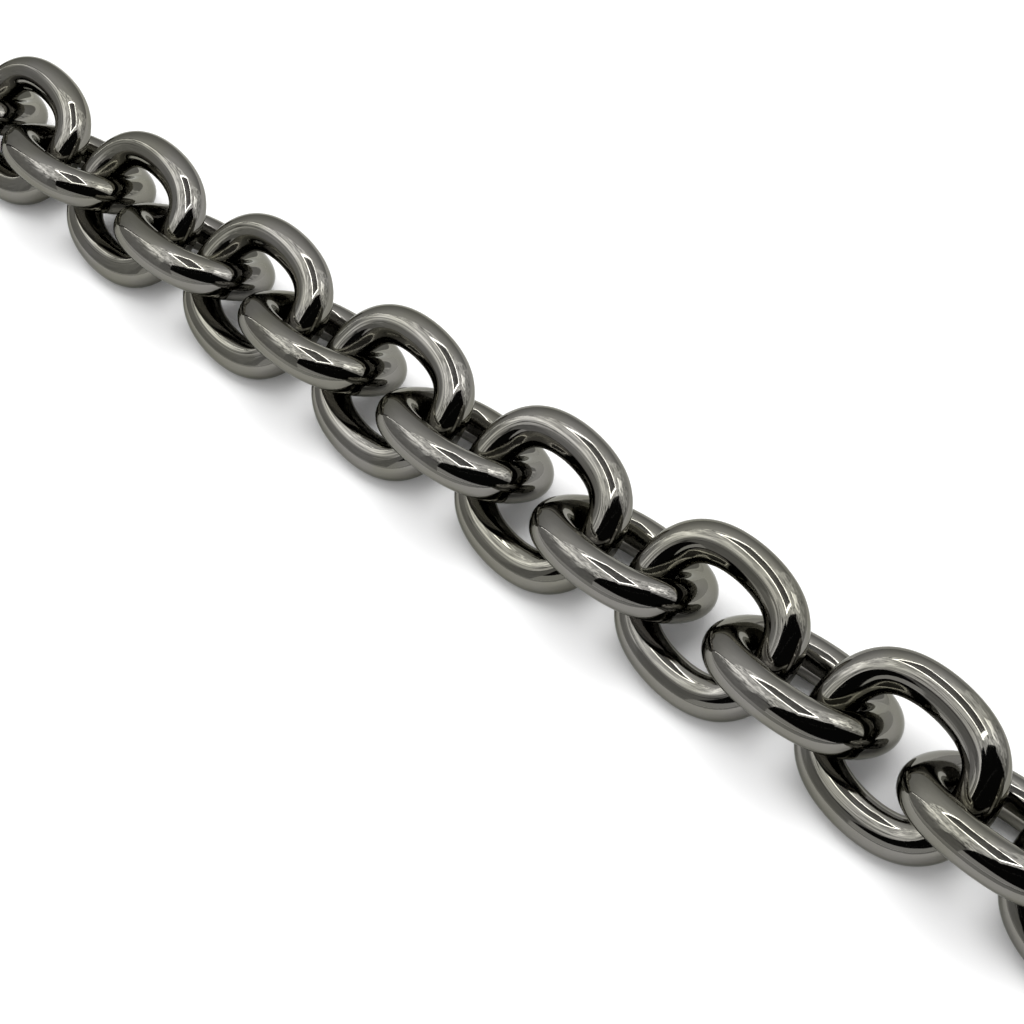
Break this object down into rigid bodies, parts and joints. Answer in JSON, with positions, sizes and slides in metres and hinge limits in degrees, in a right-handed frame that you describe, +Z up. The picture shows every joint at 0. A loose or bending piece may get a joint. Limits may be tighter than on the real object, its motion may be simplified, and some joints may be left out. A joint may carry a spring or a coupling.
{
  "type": "straight length of oval link chain",
  "caption": "Straight length of polished gunmetal aluminium chain: broad oval wire links, each leaning the opposite way to its neighbours and free to turn in their end bends.",
  "frame": {"origin": "on the floor under the middle of the chain", "axes": "+X along the chain, +Z up from the floor that it lies on"},
  "size_m": [0.3106, 0.0208, 0.0168],
  "materials": {
    "gunmetal_wire": "polished to a near mirror under a dark gunmetal plating"
  },
  "bodies": {
    "link_01": {"link_01": "gunmetal_wire"},
    "link_02": {"link_02": "gunmetal_wire"},
    "link_03": {"link_03": "gunmetal_wire"},
    "link_04": {"link_04": "gunmetal_wire"},
    "link_05": {"link_05": "gunmetal_wire"},
    "link_06": {"link_06": "gunmetal_wire"},
    "link_07": {"link_07": "gunmetal_wire"},
    "link_08": {"link_08": "gunmetal_wire"},
    "link_09": {"link_09": "gunmetal_wire"},
    "link_10": {"link_10": "gunmetal_wire"},
    "link_11": {"link_11": "gunmetal_wire"},
    "link_12": {"link_12": "gunmetal_wire"},
    "link_13": {"link_13": "gunmetal_wire"},
    "link_14": {"link_14": "gunmetal_wire"},
    "link_15": {"link_15": "gunmetal_wire"},
    "link_16": {"link_16": "gunmetal_wire"},
    "link_17": {"link_17": "gunmetal_wire"},
    "link_18": {"link_18": "gunmetal_wire"},
    "link_19": {"link_19": "gunmetal_wire"}
  },
  "joints": [
    {"name": "turn_01_02", "type": "hinge", "parent": "link_02", "child": "link_01", "pos_m": [-0.1303, 0, 0.00838], "axis": [0, 0.809, 0.5878], "range_deg": [-70, 70]},
    {"name": "turn_02_03", "type": "hinge", "parent": "link_03", "child": "link_02", "pos_m": [-0.1146, 0, 0.00838], "axis": [0, 0.809, -0.5878], "range_deg": [-70, 70]},
    {"name": "turn_03_04", "type": "hinge", "parent": "link_04", "child": "link_03", "pos_m": [-0.0989, 0, 0.00838], "axis": [0, -0.809, -0.5878], "range_deg": [-70, 70]},
    {"name": "turn_04_05", "type": "hinge", "parent": "link_05", "child": "link_04", "pos_m": [-0.0832, 0, 0.00838], "axis": [0, -0.809, 0.5878], "range_deg": [-70, 70]},
    {"name": "turn_05_06", "type": "hinge", "parent": "link_06", "child": "link_05", "pos_m": [-0.0675, 0, 0.00838], "axis": [0, 0.809, 0.5878], "range_deg": [-70, 70]},
    {"name": "turn_06_07", "type": "hinge", "parent": "link_07", "child": "link_06", "pos_m": [-0.0518, 0, 0.00838], "axis": [0, 0.809, -0.5878], "range_deg": [-70, 70]},
    {"name": "turn_07_08", "type": "hinge", "parent": "link_08", "child": "link_07", "pos_m": [-0.0361, 0, 0.00838], "axis": [0, -0.809, -0.5878], "range_deg": [-70, 70]},
    {"name": "turn_08_09", "type": "hinge", "parent": "link_09", "child": "link_08", "pos_m": [-0.0204, 0, 0.00838], "axis": [0, -0.809, 0.5878], "range_deg": [-70, 70]},
    {"name": "turn_09_10", "type": "hinge", "parent": "link_10", "child": "link_09", "pos_m": [-0.0047, 0, 0.00838], "axis": [0, 0.809, 0.5878], "range_deg": [-70, 70]},
    {"name": "turn_10_11", "type": "hinge", "parent": "link_10", "child": "link_11", "pos_m": [0.0047, 0, 0.00838], "axis": [0, 0.809, 0.5878], "range_deg": [-70, 70]},
    {"name": "turn_11_12", "type": "hinge", "parent": "link_11", "child": "link_12", "pos_m": [0.0204, 0, 0.00838], "axis": [0, -0.809, 0.5878], "range_deg": [-70, 70]},
    {"name": "turn_12_13", "type": "hinge", "parent": "link_12", "child": "link_13", "pos_m": [0.0361, 0, 0.00838], "axis": [0, -0.809, -0.5878], "range_deg": [-70, 70]},
    {"name": "turn_13_14", "type": "hinge", "parent": "link_13", "child": "link_14", "pos_m": [0.0518, 0, 0.00838], "axis": [0, 0.809, -0.5878], "range_deg": [-70, 70]},
    {"name": "turn_14_15", "type": "hinge", "parent": "link_14", "child": "link_15", "pos_m": [0.0675, 0, 0.00838], "axis": [0, 0.809, 0.5878], "range_deg": [-70, 70]},
    {"name": "turn_15_16", "type": "hinge", "parent": "link_15", "child": "link_16", "pos_m": [0.0832, 0, 0.00838], "axis": [0, -0.809, 0.5878], "range_deg": [-70, 70]},
    {"name": "turn_16_17", "type": "hinge", "parent": "link_16", "child": "link_17", "pos_m": [0.0989, 0, 0.00838], "axis": [0, -0.809, -0.5878], "range_deg": [-70, 70]},
    {"name": "turn_17_18", "type": "hinge", "parent": "link_17", "child": "link_18", "pos_m": [0.1146, 0, 0.00838], "axis": [0, 0.809, -0.5878], "range_deg": [-70, 70]},
    {"name": "turn_18_19", "type": "hinge", "parent": "link_18", "child": "link_19", "pos_m": [0.1303, 0, 0.00838], "axis": [0, 0.809, 0.5878], "range_deg": [-70, 70]}
  ]
}
